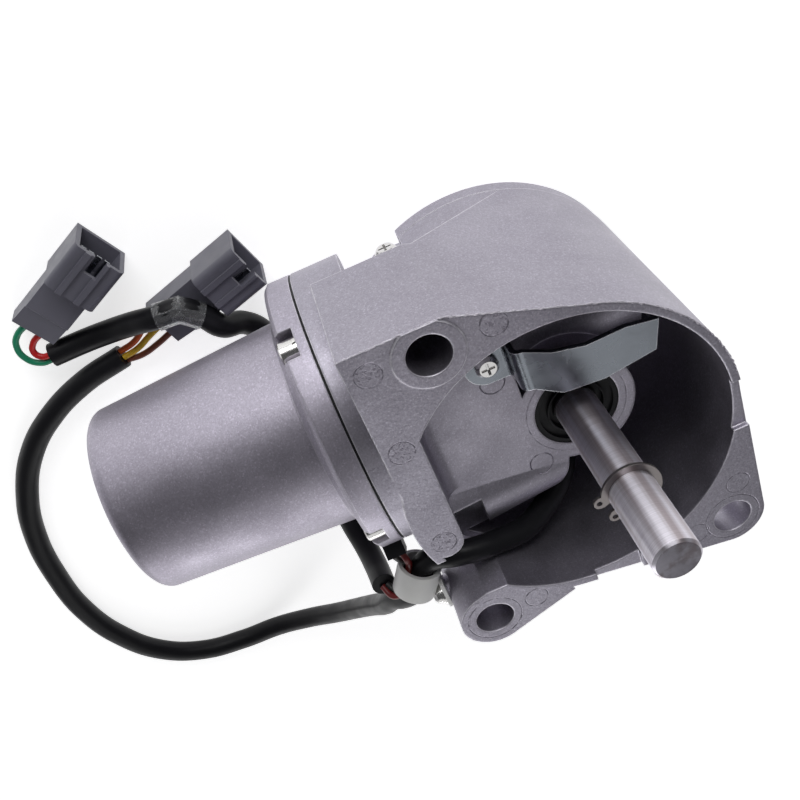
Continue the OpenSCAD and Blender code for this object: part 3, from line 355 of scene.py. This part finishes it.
MATERIALS = {
    "cast": cast_alloy("cast_alloy", (0.44, 0.42, 0.485), marked=True),
    "can": cast_alloy("can_alloy", (0.465, 0.438, 0.512)),
    # The seam is real, but its lighter tone is a painted highlight along the edge
    "flash_and_highlight": cast_alloy("casting_flash_and_highlight", (0.62, 0.59, 0.66)),
    "screw": machined("screw_steel", (0.72, 0.71, 0.7), 0.2),
    "shaft": machined("shaft_steel", (0.78, 0.75, 0.82), 0.38, sawn_with_reflection_bands=True),
    "clip": machined("clip_steel", (0.29, 0.265, 0.26), 0.3),
    "bearing": machined("bearing_steel", (0.6, 0.6, 0.6), 0.25),
    "zinc": zinc("zinc_plate", (0.25, 0.27, 0.3), 0.24),
    "bronze": machined("bronze", (0.75, 0.5, 0.22), 0.3),
    "copper": machined("copper_wire", (0.75, 0.33, 0.14), 0.3, streak=(3000, 3000, 60)),
    "magnet": moulded("magnet", (0.05, 0.05, 0.055), 0.4),
    "rubber": moulded("seal_rubber", (0.01, 0.01, 0.012), 0.5, shine=0.25),
    "sleeve": moulded("sleeve_black", (0.01, 0.01, 0.012), 0.4, grain=500, shine=0.2),
    "plug": moulded("plug_grey", (0.145, 0.143, 0.178), 0.42),
    "sensor": moulded("sensor_plastic", (0.02, 0.02, 0.02), 0.5),
    "nylon": moulded("nylon_white", (0.8, 0.8, 0.78), 0.4),
    "tape": clear_film("clear_tape"),
}
WIRES = {name: moulded("wire_" + name, tone, 0.35) for name, tone in {
    "orange": (0.75, 0.12, 0.015),
    "yellow": (0.8, 0.5, 0.02),
    "brown": (0.2, 0.05, 0.02),
    "red": (0.6, 0.015, 0.015),
    "maroon": (0.16, 0.01, 0.01),
    "green": (0.01, 0.28, 0.14),
    "black": (0.015, 0.015, 0.015),
}.items()}

DRESS = {
    "cast": ["gear_housing", "back_cover"],
    "can": ["motor_can"],
    "screw": ["cover_screws", "motor_screws", "motor_washers", "strap_screw", "sensor_screws",
              "plug_screw", "clamp_screw", "wheel_key", "rotor", "stator_core", "worm_shaft"],
    "shaft": ["output_shaft"],
    "clip": ["shaft_circlip", "rear_circlip"],
    "bearing": ["rotor_front_bearing", "rotor_rear_bearing", "worm_end_bearing",
                "output_front_bearing", "output_rear_bearing"],
    "zinc": ["guard_strap", "pins_a", "pins_b"],
    "bronze": ["worm_wheel"],
    "copper": ["stator_coils"],
    "magnet": ["rotor_magnet"],
    "rubber": ["cover_gasket", "flange_gasket", "oil_seal", "lead_grommet"],
    "plug": ["plug_a", "plug_b"],
    "sensor": ["position_sensor"],
    "nylon": ["lead_clamp"],
    "tape": ["lead_tape"],
    "sleeve": ["lead_a", "lead_b", "wires_a", "wires_b", "motor_wires"],
}


def dress():
    """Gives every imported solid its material."""
    for key, nodes in DRESS.items():
        for name in nodes:
            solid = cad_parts[name]
            if not solid.material_slots:
                solid.data.materials.append(MATERIALS[key])
            for held in solid.material_slots:
                held.material = MATERIALS[key]


# Leads and wires: their thickness, and the points in millimetres that each runs through
LEAD_D = 9 * MM
WIRE_D = 2.4 * MM
LEAD_A = metres([
    (5, 37, -77.5), (5, 37, -66), (5, 37, -54), (6.5, 38.5, -44.5), (12, 42, -36.5),
    (21, 43.8, -29.5), (31, 43.5, -22.5), (41, 39.7, -18.2), (50, 35.8, -15),
    (58.5, 33.4, -14.6), (65.8, 33.6, -17.3), (70.8, 37.4, -19.4), (73.5, 42.5, -20),
    (77.2, 49.3, -21.5), (82, 54.5, -25), (87.5, 60, -31.5), (92.5, 69, -39), (100, 81, -52),
    (109, 93, -65), (122, 104, -78), (137, 111, -88.5), (154, 115, -95.5), (172, 116, -97.5),
    (191, 112, -97.5), (207, 101, -97.5), (218, 82, -97.5), (223, 59, -97.5), (222, 35, -97.5),
    (217, 11, -97.5), (208, -9, -97.5), (195, -26, -97.5), (180, -37, -97.5),
    (162, -44.5, -97.5), (143.5, -48, -97.5)])
LEAD_B = metres([
    (87.5, 44.5, -25.5), (88.5, 45.5, -36), (90, 43.5, -47), (92, 38, -57), (93.5, 30, -70),
    (93.5, 20, -83), (92, 8, -92), (90, -6, -96.5), (90, -20, -97.5), (92.5, -34, -97.2),
    (97, -42, -94.5), (103.5, -48.6, -87), (107.5, -56, -85.7), (113.5, -62, -85.4),
    (122, -62.5, -86), (132, -61.6, -91), (143, -60.2, -96), (154, -60, -97.5),
    (165.5, -60, -97.5)])
WIRES_A = [metres(route) for route in (
    [(142.9, -45.8, -97.5), (137, -45.4, -97.2), (130, -47, -97), (123.2, -49.3, -97)],
    [(143.3, -48, -96.2), (137, -48.8, -96.8), (131, -51.4, -97), (124.5, -54, -97)],
    [(143.7, -50.2, -97.5), (137, -51.7, -97.2), (131.5, -55.2, -97), (125.9, -58.7, -97)])]
WIRES_B = [metres(route) for route in (
    [(165.4, -61.2, -96), (168.6, -61.6, -96.4), (170.4, -64.2, -97), (168.6, -67.6, -97),
     (164.1, -69.9, -97)],
    [(165.4, -58.6, -97.2), (170.5, -59.2, -97), (174.3, -63.5, -97), (174.2, -69.5, -97),
     (171.5, -73, -97), (166.7, -75.3, -97)])]
MOTOR_WIRES = [metres(route) for route in (
    [(75.2, 26, -18.4), (74.7, 29.5, -17.2), (75, 33.5, -18.7), (78.5, 39.6, -18.7),
     (82, 45.7, -19.2), (85.8, 47.3, -20.8), (88.3, 45, -25.2)],
    [(78.2, 26, -18.4), (77.2, 29.5, -19.2), (75.2, 33.7, -21.3), (78.5, 39.6, -21.3),
     (82, 45.6, -21.6), (84.6, 46.4, -22.8), (86.4, 44.6, -25.2)])]


def flexible(name, points, diameter, material):
    """A round cord through the points, as one open smooth curve."""
    data = bpy.data.curves.new(name, "CURVE")
    data.dimensions = "3D"
    data.bevel_depth = diameter / 2
    data.bevel_resolution = 6
    data.resolution_u = 10
    data.use_fill_caps = True
    spline = data.splines.new("BEZIER")
    spline.bezier_points.add(len(points) - 1)
    for held, point in zip(spline.bezier_points, points):
        held.co = point
        held.handle_left_type = held.handle_right_type = "AUTO"
    data.materials.append(material)
    made = bpy.data.objects.new(name, data)
    bpy.context.scene.collection.objects.link(made)
    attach(made, "housing")
    return made


def make_leads():
    lead_a = flexible("sleeve_a", LEAD_A, LEAD_D, MATERIALS["sleeve"])
    lead_b = flexible("sleeve_b", LEAD_B, LEAD_D, MATERIALS["sleeve"])
    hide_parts("lead_a")
    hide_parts("lead_b")
    groups = {"wires_a": (WIRES_A, ["brown", "yellow", "orange"]),
              "wires_b": (WIRES_B, ["red", "green"]),
              "motor_wires": (MOTOR_WIRES, ["maroon", "black"])}
    made = {}
    for node, (routes, tones) in groups.items():
        made[node] = [flexible(f"{node}_{tone}", route, WIRE_D, WIRES[tone])
                      for route, tone in zip(routes, tones)]
        for wire in made[node]:
            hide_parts(node)


# Casting flash, in millimetres: its radius and how much that swells, its height, and the step
# and scatter of its points
FLASH_R = 0.26
FLASH_SWELL = (0.35, 1.6)
FLASH_Z = -0.12
FLASH_STEP = 0.7
FLASH_JITTER = 0.11
# The straight part of its path, then the arc round the shroud, its turns in degrees
FLASH_CORNERS = [(65, -69.4), (33, -69.4), (-11.7, -51.9)]
SHROUD_AT = Vector((9.5, 1.5))
SHROUD_R = 57.4
SHROUD_TURNS = range(-115, -173, -3)


def make_flash():
    """The ragged seam that the mould left along the outer edge of the mounting face, drawn in a
    lighter tone as a painted highlight.
    """
    chance = random.Random(7)
    corners = list(FLASH_CORNERS)
    for turn in SHROUD_TURNS:
        heading = Vector((math.cos(math.radians(turn)), math.sin(math.radians(turn))))
        corners.append(tuple(SHROUD_AT + SHROUD_R * heading))
    points = []
    for (x0, y0), (x1, y1) in zip(corners, corners[1:]):
        steps = max(1, round(math.hypot(x1 - x0, y1 - y0) / FLASH_STEP))
        points += [(x0 + (x1 - x0) * k / steps, y0 + (y1 - y0) * k / steps)
                   for k in range(steps)]
    data = bpy.data.curves.new("casting_flash_and_highlight", "CURVE")
    data.dimensions = "3D"
    data.bevel_depth = FLASH_R * MM
    data.bevel_resolution = 1
    data.use_fill_caps = True
    spline = data.splines.new("POLY")
    spline.points.add(len(points) - 1)
    for held, (x, y) in zip(spline.points, points):
        jitter = [chance.gauss(0, FLASH_JITTER) for _ in range(3)]
        held.co = ((x + jitter[0]) * MM, (y + jitter[1]) * MM, (FLASH_Z + jitter[2]) * MM, 1)
        held.radius = chance.uniform(*FLASH_SWELL)
    data.materials.append(MATERIALS["flash_and_highlight"])
    seam = bpy.data.objects.new("casting_flash_and_highlight", data)
    bpy.context.scene.collection.objects.link(seam)
    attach(seam, "housing")


# Studio: half the width of the floor, its tone and its glow
FLOOR_HALF = 3.0
FLOOR_TONE = 0.86
FLOOR_GLOW = 0.7


def make_floor():
    """A white floor, which glows only where the camera or a reflection sees it."""
    mesh = bpy.data.meshes.new("floor")
    corners = [(x * FLOOR_HALF, y * FLOOR_HALF, FLOOR_Z)
               for x, y in ((-1, -1), (1, -1), (1, 1), (-1, 1))]
    mesh.from_pydata(corners, [], [(0, 1, 2, 3)])
    floor = bpy.data.objects.new("floor", mesh)
    bpy.context.scene.collection.objects.link(floor)
    white = bpy.data.materials.new("floor_white")
    white.use_nodes = True
    tree = white.node_tree
    tree.nodes.clear()
    diffuse = tree.nodes.new("ShaderNodeBsdfDiffuse")
    diffuse.inputs["Color"].default_value = (FLOOR_TONE, FLOOR_TONE, FLOOR_TONE, 1)
    glow = tree.nodes.new("ShaderNodeEmission")
    seen = tree.nodes.new("ShaderNodeLightPath")
    level = tree.nodes.new("ShaderNodeMath")
    level.operation = "MAXIMUM"
    strength = tree.nodes.new("ShaderNodeMath")
    strength.operation = "MULTIPLY"
    strength.inputs[1].default_value = FLOOR_GLOW
    both = tree.nodes.new("ShaderNodeAddShader")
    output = tree.nodes.new("ShaderNodeOutputMaterial")
    tree.links.new(seen.outputs["Is Camera Ray"], level.inputs[0])
    tree.links.new(seen.outputs["Is Glossy Ray"], level.inputs[1])
    tree.links.new(level.outputs[0], strength.inputs[0])
    tree.links.new(strength.outputs[0], glow.inputs["Strength"])
    tree.links.new(diffuse.outputs[0], both.inputs[0])
    tree.links.new(glow.outputs[0], both.inputs[1])
    tree.links.new(both.outputs[0], output.inputs["Surface"])
    mesh.materials.append(white)


# Brightness of the studio from the horizon up to the ceiling
SKY = [(0.0, 0.6), (0.3, 0.26), (0.6, 0.12), (1.0, 0.1)]
SKY_TINT = (0.97, 0.97, 1.0)
# Name, place, width and height, and power of each lamp, and the point that all of them face
LAMPS = [("lamp_front", (-0.15, -1.1, 0.4), (1.1, 0.6), 7),
         ("lamp_back", (0.45, 1.0, 0.35), (1.0, 0.5), 3),
         ("lamp_top", (0.09, 0.66, 0.85), (0.9, 0.6), 1.3)]
LAMP_AIM = Vector((0.06, 0.0, -0.05))


def softbox(name, at, size, power):
    data = bpy.data.lights.new(name, "AREA")
    data.shape = "RECTANGLE"
    data.size, data.size_y = size
    data.energy = power
    lamp = bpy.data.objects.new(name, data)
    lamp.location = at
    lamp.rotation_euler = (LAMP_AIM - Vector(at)).to_track_quat("-Z", "Y").to_euler()
    bpy.context.scene.collection.objects.link(lamp)


def make_lights():
    for name, at, size, power in LAMPS:
        softbox(name, at, size, power)
    world = bpy.data.worlds.new("studio")
    world.use_nodes = True
    tree = world.node_tree
    direction = tree.nodes.new("ShaderNodeTexCoord").outputs["Generated"]
    parts = tree.nodes.new("ShaderNodeSeparateXYZ")
    shade = tree.nodes.new("ShaderNodeValToRGB")
    tree.links.new(direction, parts.inputs[0])
    tree.links.new(parts.outputs["Z"], shade.inputs["Fac"])
    tree.links.new(shade.outputs["Color"], tree.nodes["Background"].inputs["Color"])
    stops = shade.color_ramp.elements
    while len(stops) < len(SKY):
        stops.new(0.5)
    for stop, (place, level) in zip(stops, SKY):
        stop.position = place
        stop.color = (*(level * share for share in SKY_TINT), 1)
    bpy.context.scene.world = world


make_camera()
dress()
make_leads()
make_flash()
make_floor()
make_lights()
bpy.context.scene.view_settings.view_transform = "Standard"
